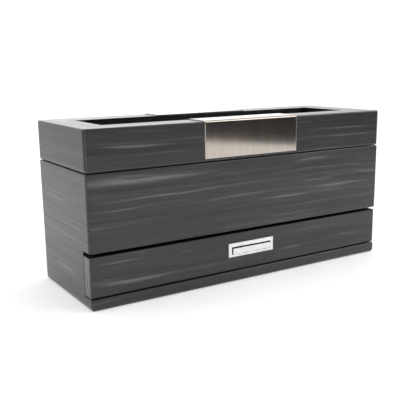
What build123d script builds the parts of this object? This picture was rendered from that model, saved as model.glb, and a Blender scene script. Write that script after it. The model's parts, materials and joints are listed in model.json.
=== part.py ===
from build123d import *
import os

# Watch box: a veneered case with a drawer below, five watch cells above, and a glazed lid on stop hinges.
# Millimetres. X runs along the front, +Y towards the back, +Z up.
# The origin is the middle of the underside, where the box rests.

os.makedirs("parts", exist_ok=True)

# Outside of the box
box_width = 340.0
box_depth = 118.0
box_height = 158.0
wall = 12.0
case_height = 120.3
seam_gap = 0.5

# Rounding of the outer edges
case_corner = 3.2
case_foot_round = 3.0
case_rim_round = 1.2
notch_round = 1.0
lid_corner = 4.2
lid_top_round = 1.4
lid_foot_round = 2.0
drawer_edge_round = 0.9

# Plinth, drawer notch and the boards across the case
plinth_height = 10.6
notch_top = 51.5
notch_depth = 15.0
felt_thickness = 1.0
shelf_bottom = 52.0
shelf_thickness = 6.0

# Watch compartment
lining_thickness = 2.0
lining_below_rim = 0.5
floor_pad_thickness = 1.5
cell_count = 5
divider_thickness = 3.0
divider_top = 112.0
divider_round = 1.2

# Watch cushions
cushion_width = 56.0
cushion_length = 79.0
cushion_height = 46.0
cushion_corner = 19.0
cushion_end_draw = 7.5
cushion_draw_power = 4
cushion_foot_cut = 1.0
cushion_stations = 4

# Lid frame, glass and what holds it
rail_width = 28.0
flange_thickness = 7.0
glass_thickness = 2.5
glass_rabbet = 6.0
glass_play = 0.5
bead_thickness = 2.0
lid_lining_thickness = 1.5
window_edge_round = 0.4

# Steel plates folded over the long rails of the lid
plate_width = 107.0
plate_thickness = 0.9
plate_bottom = 123.7
plate_bend = 1.3
plate_chamfer = 0.25

# Stop hinges on the back edge
hinge_offset = 115.0
hinge_length = 30.0
leaf_depth = 9.8
leaf_thickness = 1.2
leaf_setback = 0.2
knuckle_radius = 2.2
knuckle_standoff = 2.3
knuckle_gap = 0.3
hinge_pin_radius = 1.0
running_clearance = 0.05

# Countersunk wood screws of the hinges
screw_spacing = 18.0
screw_shank_radius = 0.9
screw_head_radius = 1.8
screw_length = 9.0
screw_tip = 1.5
countersink_angle = 90.0
recess_width = 0.5
recess_depth = 0.35

# Drawer
front_recess = 2.2
drawer_front_thickness = 12.6
drawer_front_bottom = 11.3
drawer_front_top = 48.3
drawer_lift = 0.4
drawer_side_top = 46.0
drawer_side_thickness = 6.0
drawer_side_play = 1.0
drawer_box_back = 42.0
drawer_bottom_height = 13.0
drawer_bottom_thickness = 3.0
drawer_pad_thickness = 1.2
drawer_travel = 70.0
guide_width = 10.0
guide_play = 0.4
stop_tab_width = 40.0
stop_tab_height = 4.4
stop_block_width = 48.0
stop_play = 0.2

# Pull: a bevelled frame let into the drawer front, and a polished plate laid in its recess, low and to the right
pull_centre_height = 31.6
pull_width = 54.0
pull_height = 14.2
pull_flange = 1.8
pull_block_width = 50.0
pull_block_height = 10.5
pull_block_depth = 4.0
pull_play = 0.15
pull_outer_bevel = 0.8
pull_opening_width = 46.8
pull_opening_height = 7.3
pull_opening_drop = 0.45
pull_inner_bevel = 0.3
pull_recess_depth = 2.0
pull_plate_thickness = 1.7
pull_plate_side_gap = 1.7
pull_plate_top_gap = 1.5
pull_plate_play = 0.05
pull_plate_bevel = 0.2
pull_screw_spacing = 30.0
pull_screw_radius = 1.0
pull_screw_reach = 3.0
pull_screw_end_gap = 0.2
pull_screw_head_radius = 1.9
pull_screw_head = 1.1

# Places worked out from the sizes above
half_width = box_width / 2
half_depth = box_depth / 2
inner_width = box_width - 2 * wall
inner_depth = box_depth - 2 * wall
lid_bottom = case_height + seam_gap
lid_height = box_height - lid_bottom
flange_bottom = box_height - flange_thickness
glass_top = flange_bottom + glass_thickness
window_width = box_width - 2 * rail_width
window_depth = box_depth - 2 * rail_width
shelf_top = shelf_bottom + shelf_thickness
lined_width = inner_width - 2 * lining_thickness
lined_depth = inner_depth - 2 * lining_thickness
cell_floor = shelf_top + floor_pad_thickness
cell_width = (lined_width - (cell_count - 1) * divider_thickness) / cell_count
cell_pitch = cell_width + divider_thickness
hinge_axis_y = half_depth + knuckle_standoff
hinge_axis_z = case_height + seam_gap / 2
leaf_back = half_depth - leaf_setback
leaf_front = leaf_back - leaf_depth
screw_y = (leaf_front + leaf_back) / 2
drawer_face = -half_depth + front_recess
drawer_front_back = drawer_face + drawer_front_thickness
drawer_box_bottom = plinth_height + drawer_lift
drawer_inner_half = inner_width / 2 - drawer_side_play - drawer_side_thickness
drawer_back_front = drawer_box_back - drawer_side_thickness
pull_opening_centre = pull_centre_height - pull_opening_drop
pull_flange_face = drawer_face - pull_flange
pull_back = drawer_face + pull_block_depth
pull_plate_width = pull_opening_width - pull_plate_side_gap - pull_plate_play
pull_plate_height = pull_opening_height - pull_plate_top_gap - pull_plate_play
pull_plate_x = (pull_plate_side_gap - pull_plate_play) / 2
pull_plate_z = pull_opening_centre - (pull_plate_top_gap - pull_plate_play) / 2
pull_recess_floor = pull_flange_face + pull_recess_depth

# Plan outlines of the four quarters of a mitred frame. The mitres run from the window's corners
# through the corners of the box, so they serve the case, the lid, the beads and the linings alike.
mitre_in_x = window_width / 2
mitre_in_y = window_depth / 2
mitre_out_x = half_width + rail_width
mitre_out_y = half_depth + rail_width
quarters = {
    "front": [
        (-mitre_out_x, -mitre_out_y),
        (mitre_out_x, -mitre_out_y),
        (mitre_in_x, -mitre_in_y),
        (-mitre_in_x, -mitre_in_y),
    ],
    "back": [
        (-mitre_out_x, mitre_out_y),
        (-mitre_in_x, mitre_in_y),
        (mitre_in_x, mitre_in_y),
        (mitre_out_x, mitre_out_y),
    ],
    "left": [
        (-mitre_out_x, -mitre_out_y),
        (-mitre_in_x, -mitre_in_y),
        (-mitre_in_x, mitre_in_y),
        (-mitre_out_x, mitre_out_y),
    ],
    "right": [
        (mitre_out_x, -mitre_out_y),
        (mitre_out_x, mitre_out_y),
        (mitre_in_x, mitre_in_y),
        (mitre_in_x, -mitre_in_y),
    ],
}


def outer_skin_edges(edges):
    """Those edges that lie on the outside of the case, not on its inner faces."""
    return edges.filter_by(
        lambda e: abs(e.center().X) > half_width - case_corner or e.center().Y < -half_depth + case_corner
    )


# Case shell, cut into its panels further down
with BuildPart() as case_shell:
    with BuildSketch():
        RectangleRounded(box_width, box_depth, case_corner)
    extrude(amount=case_height)
    fillet(case_shell.edges().group_by(Axis.Z)[0], case_foot_round)
    fillet(case_shell.edges().group_by(Axis.Z)[-1], case_rim_round)
    with BuildSketch():
        Rectangle(inner_width, inner_depth)
    extrude(amount=case_height, mode=Mode.SUBTRACT)
    with BuildSketch(Plane.XY.offset(plinth_height)):
        with Locations((0, -half_depth)):
            Rectangle(2 * box_width, 2 * notch_depth)
    extrude(amount=notch_top - plinth_height, mode=Mode.SUBTRACT)
    fillet(outer_skin_edges(case_shell.edges().filter_by_position(Axis.Z, notch_top, notch_top)), notch_round)
    fillet(
        outer_skin_edges(case_shell.edges().filter_by_position(Axis.Z, plinth_height, plinth_height)), notch_round
    )
    # Mortises of the hinge leaves, open to the back, and the pilot holes below them
    with BuildSketch(Plane.XY.offset(case_height - leaf_thickness)):
        with GridLocations(2 * hinge_offset, 1, 2, 1):
            with Locations((0, leaf_front + wall / 2)):
                Rectangle(hinge_length, wall)
    extrude(amount=leaf_thickness, mode=Mode.SUBTRACT)
    with BuildSketch(Plane.XY.offset(case_height - screw_length)):
        with GridLocations(2 * hinge_offset, 1, 2, 1):
            with Locations((-screw_spacing / 2, screw_y), (screw_spacing / 2, screw_y)):
                Circle(screw_shank_radius + running_clearance)
    extrude(amount=screw_length, mode=Mode.SUBTRACT)

# Front panel, above the drawer
with BuildPart() as front_panel:
    add(case_shell.part)
    with BuildSketch(Plane.XY.offset(shelf_bottom - notch_depth)):
        Polygon(*quarters["front"], align=None)
    extrude(amount=case_height, mode=Mode.INTERSECT)
front_panel.part.label = "front_panel"
export_step(front_panel.part, "parts/front_panel.step")

# Plinth rail, below the drawer
with BuildPart() as plinth_rail:
    add(case_shell.part)
    with BuildSketch():
        Polygon(*quarters["front"], align=None)
    extrude(amount=plinth_height + notch_depth, mode=Mode.INTERSECT)
plinth_rail.part.label = "plinth_rail"
export_step(plinth_rail.part, "parts/plinth_rail.step")

# Back panel, with the mortises in its top edge
with BuildPart() as back_panel:
    add(case_shell.part)
    with BuildSketch():
        Polygon(*quarters["back"], align=None)
    extrude(amount=case_height, mode=Mode.INTERSECT)
back_panel.part.label = "back_panel"
export_step(back_panel.part, "parts/back_panel.step")

# Side panels, notched at the front for the ends of the drawer front
for side in ("left", "right"):
    with BuildPart() as side_panel:
        add(case_shell.part)
        with BuildSketch():
            Polygon(*quarters[side], align=None)
        extrude(amount=case_height, mode=Mode.INTERSECT)
    side_panel.part.label = f"side_panel_{side}"
    export_step(side_panel.part, f"parts/side_panel_{side}.step")

# Base board, between the panels, and the felt that it stands on
with BuildPart() as base_board:
    with BuildSketch(Plane.XY.offset(felt_thickness)):
        Rectangle(inner_width, inner_depth)
    extrude(amount=plinth_height - felt_thickness)
base_board.part.label = "base_board"
export_step(base_board.part, "parts/base_board.step")

with BuildPart() as base_felt:
    with BuildSketch():
        Rectangle(inner_width, inner_depth)
    extrude(amount=felt_thickness)
base_felt.part.label = "base_felt"
export_step(base_felt.part, "parts/base_felt.step")

# Shelf: the floor of the watch compartment
with BuildPart() as shelf:
    with BuildSketch(Plane.XY.offset(shelf_bottom)):
        Rectangle(inner_width, inner_depth)
    extrude(amount=shelf_thickness)
shelf.part.label = "shelf"
export_step(shelf.part, "parts/shelf.step")

# Guides that keep the open drawer level, one on each side panel
for side, sign in (("left", -1), ("right", 1)):
    with BuildPart() as drawer_guide:
        with BuildSketch(Plane.XY.offset(drawer_side_top + guide_play)):
            with Locations((sign * (inner_width - guide_width) / 2, (inner_depth / 2 + drawer_front_back) / 2)):
                Rectangle(guide_width, inner_depth / 2 - drawer_front_back)
        extrude(amount=shelf_bottom - drawer_side_top - guide_play)
    drawer_guide.part.label = f"drawer_guide_{side}"
    export_step(drawer_guide.part, f"parts/drawer_guide_{side}.step")

# Stop block under the shelf, which the tab on the drawer's back meets at full travel
stop_front = drawer_front_back + 2 * guide_play
stop_back = drawer_back_front - drawer_travel - stop_play
with BuildPart() as drawer_stop:
    with BuildSketch(Plane.XY.offset(drawer_side_top + 2 * guide_play)):
        with Locations((0, (stop_front + stop_back) / 2)):
            Rectangle(stop_block_width, stop_back - stop_front)
    extrude(amount=shelf_bottom - drawer_side_top - 2 * guide_play)
drawer_stop.part.label = "drawer_stop"
export_step(drawer_stop.part, "parts/drawer_stop.step")

# Velvet covered boards on the four walls of the watch compartment
lining_height = case_height - lining_below_rim - shelf_top
with BuildPart() as wall_lining_ring:
    with BuildSketch(Plane.XY.offset(shelf_top)):
        Rectangle(inner_width, inner_depth)
        Rectangle(lined_width, lined_depth, mode=Mode.SUBTRACT)
    extrude(amount=lining_height)

for side, outline in quarters.items():
    with BuildPart() as wall_lining:
        add(wall_lining_ring.part)
        with BuildSketch(Plane.XY.offset(shelf_top)):
            Polygon(*outline, align=None)
        extrude(amount=lining_height, mode=Mode.INTERSECT)
    wall_lining.part.label = f"wall_lining_{side}"
    export_step(wall_lining.part, f"parts/wall_lining_{side}.step")

# Velvet pad on the shelf
with BuildPart() as floor_pad:
    with BuildSketch(Plane.XY.offset(shelf_top)):
        Rectangle(lined_width, lined_depth)
    extrude(amount=floor_pad_thickness)
floor_pad.part.label = "floor_pad"
export_step(floor_pad.part, "parts/floor_pad.step")

# Dividers between the cells, with softly rounded top edges
for index in range(cell_count - 1):
    divider_x = (index + 1) * cell_pitch - (lined_width + divider_thickness) / 2
    with BuildPart() as divider:
        with BuildSketch(Plane.XY.offset(cell_floor)):
            with Locations((divider_x, 0)):
                Rectangle(divider_thickness, lined_depth)
        extrude(amount=divider_top - cell_floor)
        fillet(divider.edges().group_by(Axis.Z)[-1].filter_by(Axis.Y), divider_round)
    divider.part.label = f"divider_{index + 1}"
    export_step(divider.part, f"parts/divider_{index + 1}.step")

# Watch cushions: rounded pillows, fullest in the middle, drawn in towards their two sewn end panels,
# and flat only underneath, where they sit on the pad
for index in range(cell_count):
    cushion_x = index * cell_pitch - (cell_count - 1) * cell_pitch / 2
    with BuildPart() as cushion:
        for step in range(-cushion_stations, cushion_stations + 1):
            reach = step / cushion_stations
            draw = cushion_end_draw * abs(reach) ** cushion_draw_power
            with BuildSketch(Plane.YZ.offset(cushion_x + reach * cushion_width / 2)):
                with Locations((0, cell_floor - cushion_foot_cut + cushion_height / 2)):
                    RectangleRounded(cushion_length - 2 * draw, cushion_height - 2 * draw, cushion_corner - draw)
        loft()
        with BuildSketch(Plane.XY.offset(cell_floor)):
            with Locations((cushion_x, 0)):
                Rectangle(cushion_length, cushion_length)
        extrude(amount=-cushion_height, mode=Mode.SUBTRACT)
    cushion.part.label = f"watch_cushion_{index + 1}"
    export_step(cushion.part, f"parts/watch_cushion_{index + 1}.step")

# Lid shell, cut into its four mitred rails further down
with BuildPart() as lid_shell:
    with BuildSketch(Plane.XY.offset(lid_bottom)):
        RectangleRounded(box_width, box_depth, lid_corner)
    extrude(amount=lid_height)
    fillet(lid_shell.edges().group_by(Axis.Z)[0], lid_foot_round)
    fillet(lid_shell.edges().group_by(Axis.Z)[-1], lid_top_round)
    with BuildSketch(Plane.XY.offset(lid_bottom)):
        Rectangle(inner_width, inner_depth)
    extrude(amount=flange_bottom - lid_bottom, mode=Mode.SUBTRACT)
    with BuildSketch(Plane.XY.offset(flange_bottom)):
        Rectangle(window_width + 2 * glass_rabbet, window_depth + 2 * glass_rabbet)
    extrude(amount=glass_thickness, mode=Mode.SUBTRACT)
    with BuildSketch(Plane.XY.offset(glass_top)):
        Rectangle(window_width, window_depth)
    extrude(amount=lid_height, mode=Mode.SUBTRACT)
    window_edges = lid_shell.edges().filter_by_position(Axis.Z, box_height, box_height)
    fillet(
        window_edges.filter_by(
            lambda e: abs(e.center().X) < half_width - wall and abs(e.center().Y) < half_depth - wall
        ),
        window_edge_round,
    )
    # Mortises of the hinge leaves and the pilot holes above them
    with BuildSketch(Plane.XY.offset(lid_bottom)):
        with GridLocations(2 * hinge_offset, 1, 2, 1):
            with Locations((0, leaf_front + wall / 2)):
                Rectangle(hinge_length, wall)
    extrude(amount=leaf_thickness, mode=Mode.SUBTRACT)
    with BuildSketch(Plane.XY.offset(lid_bottom)):
        with GridLocations(2 * hinge_offset, 1, 2, 1):
            with Locations((-screw_spacing / 2, screw_y), (screw_spacing / 2, screw_y)):
                Circle(screw_shank_radius + running_clearance)
    extrude(amount=screw_length, mode=Mode.SUBTRACT)

for side, outline in quarters.items():
    with BuildPart() as lid_rail:
        add(lid_shell.part)
        with BuildSketch(Plane.XY.offset(lid_bottom)):
            Polygon(*outline, align=None)
        extrude(amount=lid_height, mode=Mode.INTERSECT)
    lid_rail.part.label = f"lid_rail_{side}"
    export_step(lid_rail.part, f"parts/lid_rail_{side}.step")

# Glass pane, in the rabbet under the lid's top face
with BuildPart() as lid_glass:
    with BuildSketch(Plane.XY.offset(flange_bottom)):
        Rectangle(
            window_width + 2 * (glass_rabbet - glass_play),
            window_depth + 2 * (glass_rabbet - glass_play),
        )
    extrude(amount=glass_thickness)
lid_glass.part.label = "lid_glass"
export_step(lid_glass.part, "parts/lid_glass.step")

# Velvet covered boards inside the walls of the lid
lid_lining_height = flange_bottom - lid_bottom - lining_below_rim
with BuildPart() as lid_lining_ring:
    with BuildSketch(Plane.XY.offset(lid_bottom + lining_below_rim)):
        Rectangle(inner_width, inner_depth)
        Rectangle(
            inner_width - 2 * lid_lining_thickness,
            inner_depth - 2 * lid_lining_thickness,
            mode=Mode.SUBTRACT,
        )
    extrude(amount=lid_lining_height)

for side, outline in quarters.items():
    with BuildPart() as lid_lining:
        add(lid_lining_ring.part)
        with BuildSketch(Plane.XY.offset(lid_bottom)):
            Polygon(*outline, align=None)
        extrude(amount=lid_height, mode=Mode.INTERSECT)
    lid_lining.part.label = f"lid_lining_{side}"
    export_step(lid_lining.part, f"parts/lid_lining_{side}.step")

# Beads under the flange, which hold the glass up in its rabbet
with BuildPart() as bead_ring:
    with BuildSketch(Plane.XY.offset(flange_bottom - bead_thickness)):
        Rectangle(
            inner_width - 2 * lid_lining_thickness,
            inner_depth - 2 * lid_lining_thickness,
        )
        Rectangle(window_width, window_depth, mode=Mode.SUBTRACT)
    extrude(amount=bead_thickness)

for side, outline in quarters.items():
    with BuildPart() as glass_bead:
        add(bead_ring.part)
        with BuildSketch(Plane.XY.offset(lid_bottom)):
            Polygon(*outline, align=None)
        extrude(amount=lid_height, mode=Mode.INTERSECT)
    glass_bead.part.label = f"glass_bead_{side}"
    export_step(glass_bead.part, f"parts/glass_bead_{side}.step")

# Folded steel plates: one leg down the outside of the rail, one leg across its top to the window
plate_outer_bend = plate_bend + plate_thickness
plate_back = -mitre_in_y - window_edge_round
with BuildPart() as front_plate:
    with BuildSketch(Plane.YZ.offset(-plate_width / 2)):
        with BuildLine():
            outside = FilletPolyline(
                (-half_depth - plate_thickness, plate_bottom),
                (-half_depth - plate_thickness, box_height + plate_thickness),
                (plate_back, box_height + plate_thickness),
                radius=plate_outer_bend,
            )
            inside = FilletPolyline(
                (-half_depth, plate_bottom),
                (-half_depth, box_height),
                (plate_back, box_height),
                radius=plate_bend,
            )
            Line(outside @ 0, inside @ 0)
            Line(outside @ 1, inside @ 1)
        make_face()
    extrude(amount=plate_width)
    bend_reach = box_height + half_depth - plate_bend / 2
    outer_face_edges = front_plate.edges().filter_by(
        lambda e: e.center().Y < -half_depth - plate_thickness / 2 - plate_chamfer
        or e.center().Z > box_height + plate_thickness / 2 + plate_chamfer
        or (e.geom_type == GeomType.CIRCLE and e.center().Z - e.center().Y > bend_reach)
    )
    rim_edges = outer_face_edges.filter_by(
        lambda e: abs(e.center().X) > plate_width / 2 - plate_chamfer
        or abs(e.center().Z - plate_bottom) < plate_chamfer
        or abs(e.center().Y - plate_back) < plate_chamfer
    )
    chamfer(rim_edges, plate_chamfer)
front_plate.part.label = "front_plate"
export_step(front_plate.part, "parts/front_plate.step")

with BuildPart() as back_plate:
    add(front_plate.part)
    mirror(about=Plane.XZ, mode=Mode.REPLACE)
back_plate.part.label = "back_plate"
export_step(back_plate.part, "parts/back_plate.step")

# Hinges: the case leaf has the two outer knuckles, the lid leaf the middle one
knuckle_length = (hinge_length - 2 * knuckle_gap) / 3
outer_knuckle_x = knuckle_length + knuckle_gap
for side, sign in (("left", -1), ("right", 1)):
    hinge_x = sign * hinge_offset
    leaves = (
        ("case", case_height - leaf_thickness, (-outer_knuckle_x, outer_knuckle_x), 0.0),
        ("lid", lid_bottom, (0.0,), running_clearance),
    )
    for owner, leaf_floor, knuckle_places, bore_clearance in leaves:
        with BuildPart() as hinge_leaf:
            with BuildSketch(Plane.XY.offset(leaf_floor)):
                with Locations((hinge_x, (leaf_front + leaf_back) / 2)):
                    Rectangle(hinge_length, leaf_depth)
                for place in knuckle_places:
                    with Locations((hinge_x + place, (leaf_front + hinge_axis_y) / 2)):
                        Rectangle(knuckle_length, hinge_axis_y - leaf_front)
            extrude(amount=leaf_thickness)
            for place in knuckle_places:
                with BuildSketch(Plane.YZ.offset(hinge_x + place - knuckle_length / 2)):
                    with Locations((hinge_axis_y, hinge_axis_z)):
                        Circle(knuckle_radius)
                extrude(amount=knuckle_length)
            with BuildSketch(Plane.YZ.offset(hinge_x - hinge_length / 2)):
                with Locations((hinge_axis_y, hinge_axis_z)):
                    Circle(hinge_pin_radius + bore_clearance)
            extrude(amount=hinge_length, mode=Mode.SUBTRACT)
            # The countersinks open towards the seam, so the lid's face down
            head_plane = Plane.XY.offset(case_height) if owner == "case" else -Plane.XY.offset(lid_bottom)
            mirror_y = 1 if owner == "case" else -1
            with Locations(head_plane):
                with Locations(
                    (hinge_x - screw_spacing / 2, mirror_y * screw_y),
                    (hinge_x + screw_spacing / 2, mirror_y * screw_y),
                ):
                    CounterSinkHole(
                        radius=screw_shank_radius + running_clearance,
                        counter_sink_radius=screw_head_radius + running_clearance,
                        depth=2 * leaf_thickness,
                        counter_sink_angle=countersink_angle,
                    )
        hinge_leaf.part.label = f"hinge_{side}_{owner}_leaf"
        export_step(hinge_leaf.part, f"parts/hinge_{side}_{owner}_leaf.step")

    with BuildPart() as hinge_pin:
        with BuildSketch(Plane.YZ.offset(hinge_x - hinge_length / 2)):
            with Locations((hinge_axis_y, hinge_axis_z)):
                Circle(hinge_pin_radius)
        extrude(amount=hinge_length)
    hinge_pin.part.label = f"hinge_{side}_pin"
    export_step(hinge_pin.part, f"parts/hinge_{side}_pin.step")

# One countersunk screw, head up, its head's face at the origin
with BuildPart() as wood_screw:
    with BuildSketch(Plane.XZ):
        with BuildLine():
            Polyline(
                (0, 0),
                (screw_head_radius, 0),
                (screw_shank_radius, -(screw_head_radius - screw_shank_radius)),
                (screw_shank_radius, -(screw_length - screw_tip)),
                (0, -screw_length),
                (0, 0),
            )
        make_face()
    revolve(axis=Axis.Z)
    with BuildSketch():
        Rectangle(screw_head_radius, recess_width)
        Rectangle(recess_width, screw_head_radius)
    extrude(amount=-recess_depth, mode=Mode.SUBTRACT)

screw_places = [
    (sign * hinge_offset + step, screw_y)
    for sign in (-1, 1)
    for step in (-screw_spacing / 2, screw_spacing / 2)
]
with BuildPart() as hinge_case_screws:
    with Locations(*[(x, y, case_height) for x, y in screw_places]):
        add(wood_screw.part)
hinge_case_screws.part.label = "hinge_case_screws"
export_step(hinge_case_screws.part, "parts/hinge_case_screws.step")

with BuildPart() as hinge_lid_screws:
    with Locations(*[Location((x, y, lid_bottom), (180, 0, 0)) for x, y in screw_places]):
        add(wood_screw.part)
hinge_lid_screws.part.label = "hinge_lid_screws"
export_step(hinge_lid_screws.part, "parts/hinge_lid_screws.step")

# Drawer front, with a pocket for the pull and holes for its screws
pull_screw_places = [(-pull_screw_spacing / 2, pull_opening_centre), (pull_screw_spacing / 2, pull_opening_centre)]
face_plane = Plane.XZ.offset(-drawer_face)
with BuildPart() as drawer_front:
    with BuildSketch(Plane.XY.offset(drawer_front_bottom)):
        with Locations((0, (drawer_face + drawer_front_back) / 2)):
            Rectangle(box_width, drawer_front_thickness)
    extrude(amount=drawer_front_top - drawer_front_bottom)
    fillet(drawer_front.edges(), drawer_edge_round)
    with BuildSketch(face_plane):
        with Locations((0, pull_opening_centre)):
            Rectangle(pull_block_width + 2 * pull_play, pull_block_height + 2 * pull_play)
    extrude(amount=-(pull_block_depth + pull_play), mode=Mode.SUBTRACT)
    with BuildSketch(face_plane):
        with Locations(*pull_screw_places):
            Circle(pull_screw_radius + running_clearance)
    extrude(amount=-drawer_front_thickness, mode=Mode.SUBTRACT)
drawer_front.part.label = "drawer_front"
export_step(drawer_front.part, "parts/drawer_front.step")

# Drawer box
for side, sign in (("left", -1), ("right", 1)):
    with BuildPart() as drawer_side:
        with BuildSketch(Plane.XY.offset(drawer_box_bottom)):
            with Locations(
                (sign * (drawer_inner_half + drawer_side_thickness / 2), (drawer_front_back + drawer_box_back) / 2)
            ):
                Rectangle(drawer_side_thickness, drawer_box_back - drawer_front_back)
        extrude(amount=drawer_side_top - drawer_box_bottom)
    drawer_side.part.label = f"drawer_side_{side}"
    export_step(drawer_side.part, f"parts/drawer_side_{side}.step")

# The back has a tab in its middle, which meets the stop block
with BuildPart() as drawer_back:
    with BuildSketch(Plane.XZ.offset(-drawer_back_front)):
        with Locations((0, (drawer_box_bottom + drawer_side_top) / 2)):
            Rectangle(2 * drawer_inner_half, drawer_side_top - drawer_box_bottom)
        with Locations((0, drawer_side_top + stop_tab_height / 2)):
            Rectangle(stop_tab_width, stop_tab_height)
    extrude(amount=-drawer_side_thickness)
drawer_back.part.label = "drawer_back"
export_step(drawer_back.part, "parts/drawer_back.step")

with BuildPart() as drawer_bottom:
    with BuildSketch(Plane.XY.offset(drawer_bottom_height)):
        with Locations((0, (drawer_front_back + drawer_back_front) / 2)):
            Rectangle(2 * drawer_inner_half, drawer_back_front - drawer_front_back)
    extrude(amount=drawer_bottom_thickness)
drawer_bottom.part.label = "drawer_bottom"
export_step(drawer_bottom.part, "parts/drawer_bottom.step")

with BuildPart() as drawer_pad:
    with BuildSketch(Plane.XY.offset(drawer_bottom_height + drawer_bottom_thickness)):
        with Locations((0, (drawer_front_back + drawer_back_front) / 2)):
            Rectangle(2 * drawer_inner_half, drawer_back_front - drawer_front_back)
    extrude(amount=drawer_pad_thickness)
drawer_pad.part.label = "drawer_pad"
export_step(drawer_pad.part, "parts/drawer_pad.step")

# Pull: the bevelled frame on the face, and the block behind it in the drawer front
with BuildPart() as pull_frame:
    with BuildSketch(Plane.XZ.offset(-pull_flange_face)):
        with Locations((0, pull_centre_height)):
            Rectangle(pull_width, pull_height)
    extrude(amount=-pull_flange)
    chamfer(pull_frame.faces().sort_by(Axis.Y)[0].edges(), pull_outer_bevel)
    with BuildSketch(face_plane):
        with Locations((0, pull_opening_centre)):
            Rectangle(pull_block_width, pull_block_height)
    extrude(amount=-pull_block_depth)
    with BuildSketch(Plane.XZ.offset(-pull_flange_face)):
        with Locations((0, pull_opening_centre)):
            Rectangle(pull_opening_width, pull_opening_height)
    extrude(amount=-pull_recess_depth, mode=Mode.SUBTRACT)
    chamfer(pull_frame.faces().sort_by(Axis.Y)[0].inner_wires()[0].edges(), pull_inner_bevel)
    with BuildSketch(Plane.XZ.offset(-pull_back)):
        with Locations(*pull_screw_places):
            Circle(pull_screw_radius)
    extrude(amount=pull_screw_reach, mode=Mode.SUBTRACT)
pull_frame.part.label = "pull_frame"
export_step(pull_frame.part, "parts/pull_frame.step")

with BuildPart() as pull_plate:
    with BuildSketch(Plane.XZ.offset(-pull_recess_floor)):
        with Locations((pull_plate_x, pull_plate_z)):
            Rectangle(pull_plate_width, pull_plate_height)
    extrude(amount=pull_plate_thickness)
    chamfer(pull_plate.faces().sort_by(Axis.Y)[0].edges(), pull_plate_bevel)
pull_plate.part.label = "pull_plate"
export_step(pull_plate.part, "parts/pull_plate.step")

# Two pan head screws, from inside the drawer into the back of the pull
with BuildPart() as pull_screws:
    with BuildSketch(Plane.XZ.offset(-drawer_front_back)):
        with Locations(*pull_screw_places):
            Circle(pull_screw_radius)
    extrude(amount=drawer_front_back - pull_back + pull_screw_reach - pull_screw_end_gap)
    with BuildSketch(Plane.XZ.offset(-drawer_front_back)):
        with Locations(*pull_screw_places):
            Circle(pull_screw_head_radius)
    extrude(amount=-pull_screw_head)
    head_rims = pull_screws.faces().sort_by(Axis.Y)[-2:].edges()
    fillet(head_rims, pull_screw_head / 2)
pull_screws.part.label = "pull_screws"
export_step(pull_screws.part, "parts/pull_screws.step")
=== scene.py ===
"""Watch box with a drawer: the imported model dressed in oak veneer, brushed steel, glass and velvet."""

from __future__ import annotations

import json
import logging
import math
from collections.abc import Callable
from dataclasses import dataclass, field
from enum import Enum
from functools import partial
from typing import ClassVar

import bmesh
import bpy
from mathutils import Matrix, Vector, noise
from mathutils.bvhtree import BVHTree

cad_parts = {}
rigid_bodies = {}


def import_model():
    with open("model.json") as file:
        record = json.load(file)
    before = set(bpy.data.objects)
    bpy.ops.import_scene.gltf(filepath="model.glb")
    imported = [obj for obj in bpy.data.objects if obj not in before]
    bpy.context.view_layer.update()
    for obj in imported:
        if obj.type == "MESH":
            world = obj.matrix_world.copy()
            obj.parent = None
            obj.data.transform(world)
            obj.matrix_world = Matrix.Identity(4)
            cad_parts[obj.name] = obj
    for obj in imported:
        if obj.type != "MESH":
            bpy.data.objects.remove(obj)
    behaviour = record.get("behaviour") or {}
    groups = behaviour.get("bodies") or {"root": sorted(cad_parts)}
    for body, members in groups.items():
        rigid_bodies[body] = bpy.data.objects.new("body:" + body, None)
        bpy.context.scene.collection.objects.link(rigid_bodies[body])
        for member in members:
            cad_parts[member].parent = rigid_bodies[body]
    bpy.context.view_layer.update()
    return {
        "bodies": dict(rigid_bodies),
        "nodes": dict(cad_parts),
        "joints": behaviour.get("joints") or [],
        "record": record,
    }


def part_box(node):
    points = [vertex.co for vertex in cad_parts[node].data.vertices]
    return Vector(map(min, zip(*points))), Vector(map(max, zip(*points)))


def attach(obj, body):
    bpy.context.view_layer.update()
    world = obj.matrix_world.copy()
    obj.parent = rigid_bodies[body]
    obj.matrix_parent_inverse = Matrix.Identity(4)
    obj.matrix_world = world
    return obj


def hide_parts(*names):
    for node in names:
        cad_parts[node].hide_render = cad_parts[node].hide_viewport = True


log = logging.getLogger("watch_box")

MM = 0.001

Colour = tuple[float, float, float, float]
Socket = bpy.types.NodeSocket
Adder = Callable[..., Socket | None]

# The Mix node has sockets of its own for colours and for plain values, known by their numbers
COLOUR_A, COLOUR_B, VALUE_A, VALUE_B = 6, 7, 2, 3
AS_COLOUR = {"output": 2, "data_type": "RGBA"}


# Shared helpers


def srgb(code: str) -> Colour:
    """Turn an sRGB hex colour into the linear colour that shaders take.

    Args:
        code: six hex digits, with or without a leading hash.

    Returns:
        Linear red, green, blue and an alpha of one.
    """
    digits = code.lstrip("#")
    channels = [int(digits[i : i + 2], 16) / 255 for i in (0, 2, 4)]
    linear = [c / 12.92 if c <= 0.04045 else ((c + 0.055) / 1.055) ** 2.4 for c in channels]
    return (linear[0], linear[1], linear[2], 1.0)


def feed(node: bpy.types.Node, inputs: dict[str | int, object]) -> None:
    """Set a node's inputs.

    Args:
        node: the node.
        inputs: socket name or index to a value, or to the output socket that feeds it.
    """
    for key, value in inputs.items():
        if isinstance(value, Socket):
            node.id_data.links.new(value, node.inputs[key])
        else:
            node.inputs[key].default_value = value


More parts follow.
